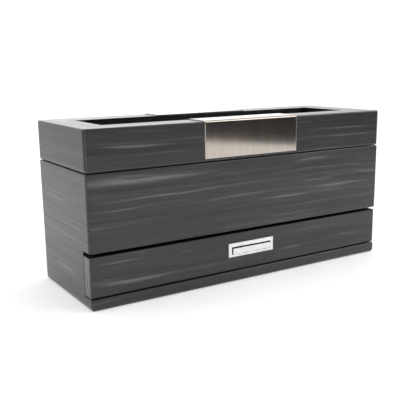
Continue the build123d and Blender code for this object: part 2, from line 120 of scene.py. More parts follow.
def add_node(
    tree: bpy.types.NodeTree,
    kind: str,
    inputs: dict[str | int, object] | None = None,
    output: str | int = 0,
    **settings: object,
) -> Socket | None:
    """Add one shader node with its settings and its links.

    Args:
        tree: the node tree that gets the node.
        kind: the node's type name, without the ShaderNode that it starts with.
        inputs: socket name or index to a value, or to the output socket that feeds it.
        output: name or index of the output to return.
        settings: attributes to set on the node.

    Returns:
        The output, from which the node itself is at hand, or None where the node has no output.
    """
    node = tree.nodes.new(f"ShaderNode{kind}")
    for name, value in settings.items():
        setattr(node, name, value)
    feed(node, inputs or {})
    return node.outputs[output] if node.outputs else None


def colour_ramp(ramp: Socket, stops: list[tuple[float, str]]) -> None:
    """Set the stops of a colour ramp.

    Args:
        ramp: the output of the colour ramp's node.
        stops: pairs of a position and an sRGB hex colour, in rising order.
    """
    elements = ramp.node.color_ramp.elements
    while len(elements) < len(stops):
        elements.new(1.0)
    for element, (position, colour) in zip(elements, stops):
        element.position = position
        element.color = srgb(colour)


def new_material(name: str) -> tuple[bpy.types.Material, Adder, bpy.types.Node, Socket]:
    """Make a node material with one principled shader.

    Args:
        name: the material's name.

    Returns:
        The material, the function that adds a node to it, the principled shader, already linked to
        the material's output, and the place on the object.
    """
    material = bpy.data.materials.new(name)
    material.use_nodes = True
    material.node_tree.nodes.clear()
    add = partial(add_node, material.node_tree)
    shader = add("BsdfPrincipled").node
    add("OutputMaterial", {"Surface": shader.outputs[0]})
    return material, add, shader, add("TexCoord", output="Object")


def resurface(material: bpy.types.Material, surface: Socket) -> None:
    """Let a material's output take another shader than the principled one alone.

    Args:
        material: the material.
        surface: the shader's output.
    """
    output = next(n for n in material.node_tree.nodes if n.type == "OUTPUT_MATERIAL")
    feed(output, {"Surface": surface})


def dress(node: bpy.types.Object, material: bpy.types.Material) -> None:
    """Give a whole object one material.

    Args:
        node: the object.
        material: its new finish.
    """
    if not node.data.materials:
        node.data.materials.append(material)
    for index in range(len(node.data.materials)):
        node.data.materials[index] = material


def add_object(name: str, data: bpy.types.ID) -> bpy.types.Object:
    """Put a new object in the scene.

    Args:
        name: the object's name.
        data: its mesh, lamp or camera.

    Returns:
        The object.
    """
    thing = bpy.data.objects.new(name, data)
    bpy.context.scene.collection.objects.link(thing)
    return thing


def mesh_of(shape: bmesh.types.BMesh, name: str) -> bpy.types.Mesh:
    """Turn a finished shape into a mesh, and free the shape.

    Args:
        shape: the shape, which can't be used afterwards.
        name: the mesh's name.

    Returns:
        The mesh.
    """
    mesh = bpy.data.meshes.new(name)
    shape.to_mesh(mesh)
    shape.free()
    return mesh


# Finishes


class Grain(Enum):
    """Which way the grain of a veneered panel runs, as the turn that lays it along X."""

    ALONG_FRONT = 0.0
    ALONG_SIDE = math.pi / 2


@dataclass(frozen=True)
class Streak:
    """One paler streak in the veneer, where the grain opens.

    Args:
        along: middle of the streak along the grain, in metres.
        height: its height on the box, in metres.
        half_length: half its length, in metres.
        half_width: half its width, in metres.
        strength: how much paler it is, from 0 to 1.
    """

    along: float
    height: float
    half_length: float
    half_width: float
    strength: float


@dataclass(frozen=True)
class StainedOakVeneer:
    """Reconstituted oak veneer, stained dark grey and sprayed with a satin lacquer.

    The eye sees long, slightly wavy streaks of paler grey in charcoal, fine pores drawn out
    along the grain, and a broad soft sheen that turns bright where the panel is seen on edge.
    """

    grain: Grain
    streaks: tuple[Streak, ...] = ()
    seed: float = 0.0
    window: tuple[float, float] | None = None
    gap_shade_above: float | None = None
    banded_from: float | None = None
    dark: str = "2b292b"
    middle: str = "393739"
    pale: str = "605d5d"
    opened: str = "928f8d"
    reveal_shade: str = "1b1a1b"
    painted_shading: str = "0e0e0e"
    band_dark: str = "4d4a4b"
    band_pale: str = "716e6e"
    roughness: float = 0.26
    streak_length: float = 0.22
    streak_width: float = 0.0036
    pore_length: float = 0.014
    pore_width: float = 0.0005
    patch_length: float = 0.09
    patch_width: float = 0.022
    wander: float = 0.012

    def build(self, name: str) -> bpy.types.Material:
        """Build the veneer's material.

        Args:
            name: the material's name.

        Returns:
            The material.
        """
        material, add, shader, place = new_material(name)
        turned = add("Mapping", {"Vector": place, "Rotation": (0.0, 0.0, -self.grain.value)})
        # The grain wanders by two or three millimetres over the length of a panel
        waves = add(
            "TexNoise",
            {
                "Vector": add("Mapping", {"Vector": turned, "Scale": (6.0, 18.0, 18.0)}),
                "W": self.seed,
                "Scale": 1.0,
                "Detail": 2.0,
            },
            noise_dimensions="4D",
        )
        drift = {0: waves, 1: self.wander, 2: -self.wander / 2}
        sway = add("Math", drift, operation="MULTIPLY_ADD")
        aside = add("CombineXYZ", {1: sway, 2: sway})
        swayed = add("VectorMath", {0: turned, 1: aside}, operation="ADD")
        growth = self._stretched_noise(add, swayed, self.streak_length, self.streak_width, 4.0, 0.55)
        pores = self._stretched_noise(add, swayed, self.pore_length, self.pore_width, 2.0, 0.5)
        patches = self._stretched_noise(add, swayed, self.patch_length, self.patch_width, 2.0, 0.5)
        tone = add("ValToRGB", {0: growth})
        colour_ramp(tone, [(0.36, self.dark), (0.48, self.middle), (0.58, self.middle), (0.74, self.pale)])
        shade = {"Value": patches, "From Min": 0.3, "From Max": 0.7, "To Min": 0.7, "To Max": 1.25}
        mixed = {"Factor": 0.55, COLOUR_A: tone, COLOUR_B: add("MapRange", shade)}
        shaded = add("Mix", mixed, **AS_COLOUR, blend_type="MULTIPLY")
        parts = add("SeparateXYZ", {0: swayed}).node.outputs
        for streak in self.streaks:
            shaded = self._lay_streak(add, shaded, parts, growth, streak)
        depth = {"Value": pores, "From Min": 0.36, "From Max": 0.6, "To Min": 0.62, "To Max": 1.1}
        mixed = {"Factor": 0.45, COLOUR_A: shaded, COLOUR_B: add("MapRange", depth)}
        pored = add("Mix", mixed, **AS_COLOUR, blend_type="MULTIPLY")
        # Painted shade on the window's reveal
        if self.window is not None:
            pored = self._shade_reveal(add, pored, place)
        if self.banded_from is not None:
            pored = self._band_ends(add, pored, place)
        gloss = add(
            "MapRange",
            {
                "Value": growth,
                "From Min": 0.3,
                "From Max": 0.8,
                "To Min": self.roughness + 0.05,
                "To Max": self.roughness - 0.04,
            },
        )
        if self.gap_shade_above is not None:
            # The top edge sits in the gap under the front panel: painted shade makes it near-black there, and
            # it is made fully matt
            height = add("SeparateXYZ", {0: place}, output=2)
            painted_shading = add("Math", {0: height, 1: self.gap_shade_above}, operation="GREATER_THAN")
            gloss = add("Mix", {"Factor": painted_shading, VALUE_A: gloss, VALUE_B: 1.0})
            pored = add("Mix", {"Factor": painted_shading, COLOUR_A: pored, COLOUR_B: srgb(self.painted_shading)}, **AS_COLOUR)
        # The lacquer fills most of the pores, so only a trace of them is left to the touch
        relief = add("Bump", {"Strength": 0.12, "Distance": 0.00008, "Height": pores})
        feed(shader, {"Base Color": pored, "Roughness": gloss, "Normal": relief, "IOR": 1.5})
        return material

    @staticmethod
    def _stretched_noise(
        add: Adder, vector: Socket, length: float, width: float, detail: float, rough: float
    ) -> Socket:
        """Add a noise drawn out along the grain.

        Args:
            add: adds a node to the material.
            vector: the place on the panel, with the grain along X.
            length: size of one mark along the grain, in metres.
            width: size across it, in metres.
            detail: number of finer layers.
            rough: weight of the finer layers.

        Returns:
            The noise's value.
        """
        scaled = add("Mapping", {"Vector": vector, "Scale": (1 / length, 1 / width, 1 / width)})
        return add("TexNoise", {"Vector": scaled, "Scale": 1.0, "Detail": detail, "Roughness": rough})

    def _shade_reveal(self, add: Adder, veneer: Socket, place: Socket) -> Socket:
        """Darken the reveal of the lid's window with painted shade, where shade falls in the recess round the
        pane.

        Args:
            add: adds a node to the material.
            veneer: the colour of the veneer.
            place: the place on the lid.

        Returns:
            The colour with painted shade on the reveal.
        """
        margin = 0.3 * MM
        parts = add("SeparateXYZ", {0: place}).node.outputs
        within = []
        for axis, half in zip((0, 1), self.window):
            reach = add("Math", {0: parts[axis]}, operation="ABSOLUTE")
            within.append(add("Math", {0: reach, 1: half + margin}, operation="LESS_THAN"))
        reveal = add("Math", {0: within[0], 1: within[1]}, operation="MULTIPLY")
        # Painted shade: the reveal, a recess, is coloured dark where shade falls in it
        return add("Mix", {"Factor": reveal, COLOUR_A: veneer, COLOUR_B: srgb(self.reveal_shade)}, **AS_COLOUR)

    def _band_ends(self, add: Adder, veneer: Socket, place: Socket) -> Socket:
        """Glue bands of paler veneer on both ends of the board, with their grain upright.

        Args:
            add: adds a node to the material.
            veneer: the colour of the veneer.
            place: the place on the board.

        Returns:
            The colour with the ends banded.
        """
        parts = add("SeparateXYZ", {0: place}).node.outputs
        reach = add("Math", {0: parts[0]}, operation="ABSOLUTE")
        banded = add("Math", {0: reach, 1: self.banded_from}, operation="GREATER_THAN")
        upright = add("CombineXYZ", {0: parts[2], 1: parts[1]})
        size = (self.streak_length / 4, self.streak_width / 2)
        growth = self._stretched_noise(add, upright, *size, 4.0, 0.55)
        tone = add("ValToRGB", {0: growth})
        colour_ramp(tone, [(0.35, self.band_dark), (0.7, self.band_pale)])
        return add("Mix", {"Factor": banded, COLOUR_A: veneer, COLOUR_B: tone}, **AS_COLOUR)

    def _lay_streak(
        self, add: Adder, below: Socket, place: bpy.types.NodeOutputs, growth: Socket, streak: Streak
    ) -> Socket:
        """Lay one pale streak over the veneer, tapering to both ends.

        Args:
            add: adds a node to the material.
            below: the colour so far.
            place: the separated place on the panel.
            growth: the grain's noise, which breaks the streak up.
            streak: where it is and how strong.

        Returns:
            The colour with the streak on it.
        """
        lengthways = {0: place[0], 1: 1 / streak.half_length, 2: -streak.along / streak.half_length}
        along = add("Math", lengthways, operation="MULTIPLY_ADD")
        upwards = {0: place[2], 1: 1 / streak.half_width, 2: -streak.height / streak.half_width}
        across = add("Math", upwards, operation="MULTIPLY_ADD")
        offset = add("CombineXYZ", {0: along, 1: across})
        reach = add("VectorMath", {0: offset}, output=1, operation="LENGTH")
        inside = add(
            "MapRange",
            {"Value": reach, "From Min": 1.0, "From Max": 0.1, "To Max": streak.strength},
            interpolation_type="SMOOTHSTEP",
        )
        broken = add("MapRange", {"Value": growth, "From Min": 0.25, "From Max": 0.6})
        mask = add("Math", {0: inside, 1: broken}, operation="MULTIPLY")
        return add("Mix", {"Factor": mask, COLOUR_A: below, COLOUR_B: srgb(self.opened)}, **AS_COLOUR)


@dataclass(frozen=True)
class BrushedStainless:
    """Stainless steel sheet, linished along its height before it was folded.

    The eye sees hair lines up and down, a gradient drawn out along them, and bright edges, which are painted
    highlight on the chamfers.
    """

    colour: str = "aea59d"
    dark: str = "a29992"
    pale: str = "b9b0a8"
    edge_highlight: str = "f4f1ee"
    edge_highlight_roughness: float = 0.55
    roughness: float = 0.13
    spread: float = 1.0
    line_width: float = 0.0006
    line_length: float = 0.025
    half_width: float = 0.0535
    lower_edge: float = 0.1237
    edge_width: float = 0.0005

    def build(self, name: str) -> bpy.types.Material:
        """Build the brushed sheet's material.

        Args:
            name: the material's name.

        Returns:
            The material.
        """
        material, add, shader, place = new_material(name)
        # Real hair lines are about 0.05 mm apart; these are drawn coarser, so that they show
        size = (1 / self.line_width, 1 / self.line_length, 1 / self.line_length)
        drawn = add("Mapping", {"Vector": place, "Scale": size})
        lines = add("TexNoise", {"Vector": drawn, "Scale": 1.0, "Detail": 3.0, "Roughness": 0.6})
        tint = add("ValToRGB", {0: lines})
        colour_ramp(tint, [(0.3, self.dark), (0.5, self.colour), (0.7, self.pale)])
        worn = add(
            "MapRange",
            {
                "Value": lines,
                "From Min": 0.3,
                "From Max": 0.7,
                "To Min": self.roughness - 0.015,
                "To Max": self.roughness + 0.015,
            },
        )
        # Painted highlight on the chamfers: a pale band along the sides and the foot, evenly matt
        edge = self._highlight_border(add, place)
        painted_shading = add("Mix", {"Factor": edge, COLOUR_A: tint, COLOUR_B: srgb(self.edge_highlight)}, **AS_COLOUR)
        matt = add("Mix", {"Factor": edge, VALUE_A: worn, VALUE_B: self.edge_highlight_roughness})
        relief = add("Bump", {"Strength": 0.1, "Distance": 0.00002, "Height": lines})
        feed(shader, {"Base Color": painted_shading, "Roughness": matt, "Normal": relief, "Metallic": 1.0})
        # Hair lines spread a reflection across themselves, so it stays sharp up and down the plate
        across = add("Tangent", direction_type="RADIAL", axis="Z")
        feed(shader, {"Anisotropic": self.spread, "Tangent": across})
        return material

    def _highlight_border(self, add: Adder, place: Socket) -> Socket:
        """Find the chamfered border of the plate, which takes the painted highlight.

        Args:
            add: adds a node to the material.
            place: the place on the plate.

        Returns:
            One on the border of the two sides and the foot, zero elsewhere.
        """
        parts = add("SeparateXYZ", {0: place}).node.outputs
        sideways = add("Math", {0: parts[0]}, operation="ABSOLUTE")
        at_side = add("Math", {0: sideways, 1: self.half_width - self.edge_width}, operation="GREATER_THAN")
        at_foot = add("Math", {0: parts[2], 1: self.lower_edge + self.edge_width}, operation="LESS_THAN")
        return add("Math", {0: at_side, 1: at_foot}, operation="MAXIMUM")


@dataclass(frozen=True)
class PlatedMetal:
    """Nickel or chrome plating over a casting or a turned part, polished or tumbled.

    The eye sees a mirror that is slightly uneven, with faint smears where fingers touch it. Behind a given
    depth, in a recess, the colour may be near-black.
    """

    colour: str = "e9e8e7"
    dull: str = "d9d8d8"
    recess_black: str = "141414"
    roughness: float = 0.09
    smear_size: float = 0.008
    ripple_size: float = 0.004
    recess_black_from: float | None = None

    def build(self, name: str) -> bpy.types.Material:
        """Build the plated metal's material.

        Args:
            name: the material's name.

        Returns:
            The material.
        """
        material, add, shader, place = new_material(name)
        smears = add(
            "TexNoise", {"Vector": place, "Scale": 1 / self.smear_size, "Detail": 4.0, "Distortion": 0.6}
        )
        worn = add(
            "MapRange",
            {
                "Value": smears,
                "From Min": 0.35,
                "From Max": 0.7,
                "To Min": self.roughness * 0.7,
                "To Max": self.roughness * 1.8,
            },
        )
        plating = add("ValToRGB", {0: smears})
        colour_ramp(plating, [(0.3, self.dull), (0.65, self.colour)])
        # Behind the given depth the recess is coloured near-black
        if self.recess_black_from is not None:
            depth = add("SeparateXYZ", {0: place}, output=1)
            filled = add(
                "MapRange",
                {"Value": depth, "From Min": self.recess_black_from, "From Max": self.recess_black_from + 0.2 * MM},
            )
            plating = add(
                "Mix", {"Factor": filled, COLOUR_A: plating, COLOUR_B: srgb(self.recess_black)}, **AS_COLOUR
            )
        ripple = add("TexNoise", {"Vector": place, "Scale": 1 / self.ripple_size, "Detail": 1.0})
        relief = add("Bump", {"Strength": 0.1, "Distance": 0.00005, "Height": ripple})
        feed(shader, {"Base Color": plating, "Roughness": worn, "Normal": relief, "Metallic": 1.0})
        return material


@dataclass(frozen=True)
class FloatGlass:
    """Clear float glass, 2.5 mm thick, cut to size and wiped clean.

    The eye sees through it from above, and sees the room in it at a low angle.
    """

    tint: str = "eef3f0"
    shadow: str = "e8eeea"
    haze_size: float = 0.03

    def build(self, name: str) -> bpy.types.Material:
        """Build the glass's material.

        Args:
            name: the material's name.

        Returns:
            The material.
        """
        material, add, shader, place = new_material(name)
        haze = add("TexNoise", {"Vector": place, "Scale": 1 / self.haze_size, "Detail": 3.0})
        wiped = add("MapRange", {"Value": haze, "From Min": 0.45, "From Max": 0.75, "To Max": 0.012})
        look = {"Roughness": wiped, "Base Color": srgb(self.tint), "Transmission Weight": 1.0, "IOR": 1.52}
        feed(shader, look)
        # Light goes straight through to the cushions: a pane this thin throws no shadow worth seeing
        ray = add("LightPath", output="Is Shadow Ray")
        clear = add("BsdfTransparent", {"Color": srgb(self.shadow)})
        resurface(material, add("MixShader", {0: ray, 1: shader.outputs[0], 2: clear}))
        return material


@dataclass(frozen=True)
class CottonVelvet:
    """Black cotton velvet, woven with a short upright pile.

    The eye sees deep black face on, a paler bloom where the pile is seen from the side, and soft
    patches where it has been brushed different ways.
    """

    colour: str = "1a1a1c"
    brushed: str = "2b2b2e"
    bloom: str = "77777c"
    pile_spacing: float = 0.0006
    patch_size: float = 0.03

    def build(self, name: str) -> bpy.types.Material:
        """Build the velvet's material.

        Args:
            name: the material's name.

        Returns:
            The material.
        """
        material, add, shader, place = new_material(name)
        patches = add(
            "TexNoise", {"Vector": place, "Scale": 1 / self.patch_size, "Detail": 3.0, "Distortion": 0.8}
        )
        # The pile stands about 0.2 mm apart and is drawn three times as coarse, so that it shows
        pile = add("TexNoise", {"Vector": place, "Scale": 1 / self.pile_spacing, "Detail": 1.0})
        lie = add("Math", {0: pile, 1: 0.35, 2: patches}, operation="MULTIPLY_ADD")
        tone = add("ValToRGB", {0: lie})
        colour_ramp(tone, [(0.45, self.colour), (0.85, self.brushed)])
        relief = add("Bump", {"Strength": 0.5, "Distance": 0.0003, "Height": pile})
        feed(shader, {"Base Color": tone, "Normal": relief, "Roughness": 0.95, "Specular IOR Level": 0.2})
        feed(shader, {"Sheen Weight": 0.25, "Sheen Roughness": 0.4, "Sheen Tint": srgb(self.bloom)})
        return material


@dataclass(frozen=True)
class WoolFelt:
    """Pressed wool felt, needled and dyed black.

    The eye sees no weave, only short matted fibres lying every way.
    """

    colour: str = "19191a"
    dark: str = "121213"
    pale: str = "333335"
    fibre_size: float = 0.0012

    def build(self, name: str) -> bpy.types.Material:
        """Build the felt's material.

        Args:
            name: the material's name.

        Returns:
            The material.
        """
        material, add, shader, place = new_material(name)
        fibres = add(
            "TexNoise", {"Vector": place, "Scale": 1 / self.fibre_size, "Detail": 4.0, "Distortion": 1.5}
        )
        tone = add("ValToRGB", {0: fibres})
        colour_ramp(tone, [(0.35, self.dark), (0.65, self.colour), (0.85, self.pale)])
        relief = add("Bump", {"Strength": 0.6, "Distance": 0.0003, "Height": fibres})
        feed(shader, {"Base Color": tone, "Normal": relief, "Roughness": 1.0})
        feed(shader, {"Specular IOR Level": 0.15, "Sheen Weight": 0.3})
        return material


@dataclass(frozen=True)
class PaintedFibreboard:
    """Medium density fibreboard, sprayed black.

    The eye sees an even, slightly pebbled satin black.
    """

    colour: str = "1d1d1e"
    scuffed: str = "2a2a2b"
    scuffs_per_metre: float = 35.0
    pebble_size: float = 0.0009

    def build(self, name: str) -> bpy.types.Material:
        """Build the painted board's material.

        Args:
            name: the material's name.

        Returns:
            The material.
        """
        material, add, shader, place = new_material(name)
        pebbles = add("TexNoise", {"Vector": place, "Scale": 1 / self.pebble_size, "Detail": 2.0})
        scuffs = add("TexNoise", {"Vector": place, "Scale": self.scuffs_per_metre, "Detail": 5.0})
        tone = add("ValToRGB", {0: scuffs})
        colour_ramp(tone, [(0.4, self.colour), (0.75, self.scuffed)])
        relief = add("Bump", {"Strength": 0.25, "Distance": 0.0001, "Height": pebbles})
        feed(shader, {"Base Color": tone, "Normal": relief, "Roughness": 0.55, "IOR": 1.5})
        return material


@dataclass
class FinishLibrary:
    """The box's finishes, each built once.

    The streaks are placed where the photographed veneer is at its palest.
    """

    front_streaks: tuple[Streak, ...] = (
        Streak(-0.118, 0.1125, 0.092, 0.0050, 1.0),
        Streak(0.075, 0.1125, 0.036, 0.0022, 0.55),
        Streak(-0.105, 0.0965, 0.085, 0.0016, 0.45),
        Streak(-0.135, 0.0885, 0.042, 0.0012, 0.40),
        Streak(0.085, 0.0900, 0.030, 0.0014, 0.50),
        Streak(0.110, 0.0825, 0.060, 0.0022, 0.80),
        Streak(0.040, 0.0772, 0.040, 0.0016, 0.60),
        Streak(0.055, 0.0610, 0.055, 0.0014, 0.45),
    )
    lid_streaks: tuple[Streak, ...] = (
        Streak(-0.125, 0.1420, 0.052, 0.0016, 0.70),
        Streak(-0.095, 0.1345, 0.060, 0.0009, 0.35),
        Streak(-0.110, 0.1545, 0.040, 0.0018, 0.35),
        Streak(0.115, 0.1440, 0.062, 0.0014, 0.75),
        Streak(0.125, 0.1350, 0.055, 0.0011, 0.60),
        # A pale streak up the lid's front-left corner is painted highlight on its rounded edge
        Streak(-0.1694, 0.1400, 0.0016, 0.050, 1.0),
    )
    drawer_streaks: tuple[Streak, ...] = (
        Streak(-0.142, 0.0400, 0.030, 0.0014, 0.60),
        Streak(-0.072, 0.0400, 0.014, 0.0012, 0.50),
        Streak(-0.128, 0.0215, 0.048, 0.0028, 0.65),
        Streak(0.052, 0.0232, 0.018, 0.0018, 0.50),
        Streak(0.135, 0.0260, 0.032, 0.0020, 0.55),
    )
    side_streaks: tuple[Streak, ...] = (
        Streak(-0.002, 0.0270, 0.034, 0.0028, 0.65),
        Streak(0.010, 0.0890, 0.050, 0.0014, 0.45),
        Streak(-0.010, 0.0690, 0.060, 0.0014, 0.40),
        Streak(0.000, 0.0580, 0.070, 0.0022, 0.40),
    )
    window: tuple[float, float] = (0.142, 0.031)
    drawer_gap_shade_above: float = 0.0479
    drawer_banded_from: float = 0.1694
    recess_black_from: float = -0.0571
    finishes: dict[str, bpy.types.Material] = field(default_factory=dict)

    def build(self) -> None:
        """Build every finish and keep it by name."""
        veneers = {
            "veneer_front": StainedOakVeneer(Grain.ALONG_FRONT, self.front_streaks, 1.0),
            "veneer_lid_front": StainedOakVeneer(Grain.ALONG_FRONT, self.lid_streaks, 2.0, self.window),
            "veneer_lid_back": StainedOakVeneer(Grain.ALONG_FRONT, (), 4.0, self.window),
            "veneer_drawer": StainedOakVeneer(
                Grain.ALONG_FRONT,
                self.drawer_streaks,
                3.0,
                gap_shade_above=self.drawer_gap_shade_above,
                banded_from=self.drawer_banded_from,
            ),
            "veneer_back": StainedOakVeneer(Grain.ALONG_FRONT, (), 4.0),
            "veneer_side": StainedOakVeneer(Grain.ALONG_SIDE, self.side_streaks, 5.0),
            "veneer_lid_side": StainedOakVeneer(Grain.ALONG_SIDE, (), 6.0, self.window),
        }
        others = {
            "brushed_stainless": BrushedStainless(),
            "polished_chrome": PlatedMetal(),
            "chrome_black_recess": PlatedMetal(recess_black_from=self.recess_black_from),
            "nickel_plate": PlatedMetal(colour="d9d4cb", roughness=0.16),
            "float_glass": FloatGlass(),
            "cotton_velvet": CottonVelvet(),
            "cushion_velvet": CottonVelvet(colour="242427", brushed="3d3d41"),
            "wool_felt": WoolFelt(),
            "painted_fibreboard": PaintedFibreboard(),
        }
        for name, finish in {**veneers, **others}.items():
            self.finishes[name] = finish.build(name)
            log.info("finish %s", name)

    def __getitem__(self, name: str) -> bpy.types.Material:
        """Return a finish by its name."""
        return self.finishes[name]


# Sub-assemblies


@dataclass
class PackedPieces:
    """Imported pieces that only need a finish. A class of them names its finishes in wearing.

    Each finish goes on the pieces whose names start in one of the given ways.
    """

    nodes: dict[str, bpy.types.Object]
    finishes: FinishLibrary
    wearing: ClassVar[dict[str, tuple[str, ...]]] = {}

    def dress_all(self) -> None:
        """Dress every piece."""
        for finish, starts in self.wearing.items():
            for name, node in self.nodes.items():
                if name.startswith(starts):
                    dress(node, self.finishes[finish])
                    log.info("%s in %s", name, finish)


class VeneeredCarcase(PackedPieces):
    """The wooden case, lid frame and drawer."""

    wearing = {
        "veneer_front": ("front_panel", "plinth_rail"),
        "veneer_back": ("back_panel",),
        "veneer_side": ("side_panel",),
        "veneer_lid_front": ("lid_rail_front",),
        "veneer_lid_back": ("lid_rail_back",),
        "veneer_lid_side": ("lid_rail_left", "lid_rail_right"),
        "veneer_drawer": ("drawer_front",),
        "painted_fibreboard": (
            "base_board",
            "shelf",
            "glass_bead",
            "drawer_guide",
            "drawer_stop",
            "drawer_side",
            "drawer_back",
            "drawer_bottom",
        ),
    }


class MetalAndGlass(PackedPieces):
    """The folded plates, the pull, the hinges with their screws, and the pane."""

    wearing = {
        "brushed_stainless": ("front_plate", "back_plate"),
        "chrome_black_recess": ("pull_frame",),
        "polished_chrome": ("pull_plate",),
        "nickel_plate": ("hinge_", "pull_screws"),
        "float_glass": ("lid_glass",),
    }


@dataclass
class VelvetBoards:
    """Thin boards wrapped in velvet: the linings, the dividers and the two floor pads.

    Sizes are in metres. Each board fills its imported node, a hair smaller all round, with its
    edges rounded over by the cloth, by less than half of its thickness.
    """

    finishes: FinishLibrary
    clearance: float = 0.00005
    edge_round: float = 0.0006
    divider_round: float = 0.0012
    largest_round: float = 0.45
    round_steps: int = 3

    def build(self, name: str, body: str, rounding: float | None = None) -> bpy.types.Object:
        """Build one wrapped board in the place of its node.

        Args:
            name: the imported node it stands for.
            body: the body it rides on.
            rounding: radius of its edges, if not the usual one.

        Returns:
            The board.
        """
        low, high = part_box(name)
        low = low + Vector((self.clearance,) * 3)
        high = high - Vector((self.clearance,) * 3)
        shape = bmesh.new()
        bmesh.ops.create_cube(shape, size=1.0)
        middle = (low + high) / 2
        extent = high - low
        for vertex in shape.verts:
            vertex.co = Vector(middle[i] + vertex.co[i] * extent[i] for i in range(3))
        radius = min(rounding or self.edge_round, min(extent) * self.largest_round)
        bmesh.ops.bevel(
            shape,
            geom=list(shape.edges),
            offset=radius,
            segments=self.round_steps,
            profile=0.5,
            affect="EDGES",
            clamp_overlap=True,
        )
        mesh = mesh_of(shape, f"{name}_velvet")
        board = add_object(f"{name}_velvet", mesh)
        for polygon in mesh.polygons:
            polygon.use_smooth = True
        mesh.materials.append(self.finishes["cotton_velvet"])
        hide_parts(name)
        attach(board, body)
        log.info("%s wrapped in velvet", name)
        return board


@dataclass
class BaseFelt:
    """The sheet of felt glued under the base board, on which the box stands. Sizes are in metres."""

    finishes: FinishLibrary
    columns: int = 96
    rows: int = 30
    edge_inset: float = 0.0004
    unevenness: float = 0.00012
    lump_size: float = 0.018

    def build(self) -> bpy.types.Object:
        """Lay the felt in the place of its node, a little uneven where the glue has drawn it in.

        Returns:
            The sheet.
        """
        low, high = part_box("base_felt")
        middle = (low + high) / 2
        half = (high - low) / 2
        shape = bmesh.new()
        bmesh.ops.create_grid(shape, x_segments=self.columns, y_segments=self.rows, size=1.0)
        lower = list(shape.verts)
        rim = bmesh.ops.extrude_face_region(shape, geom=list(shape.faces))
        upper = [v for v in rim["geom"] if isinstance(v, bmesh.types.BMVert)]
        for vertex in upper:
            vertex.co = Vector((middle.x + vertex.co.x * half.x, middle.y + vertex.co.y * half.y, high.z))
        for vertex in lower:
            reach_x = half.x - self.edge_inset
            reach_y = half.y - self.edge_inset
            place = Vector((middle.x + vertex.co.x * reach_x, middle.y + vertex.co.y * reach_y, low.z))
            lift = noise.noise(place / self.lump_size) * 0.5 + 0.5
            vertex.co = place + Vector((0, 0, self.unevenness * lift))
        bmesh.ops.recalc_face_normals(shape, faces=shape.faces)
        mesh = mesh_of(shape, "base_felt_sheet")
        felt = add_object("base_felt_sheet", mesh)
        mesh.materials.append(self.finishes["wool_felt"])
        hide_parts("base_felt")
        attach(felt, "case")
        log.info("felt laid")
        return felt


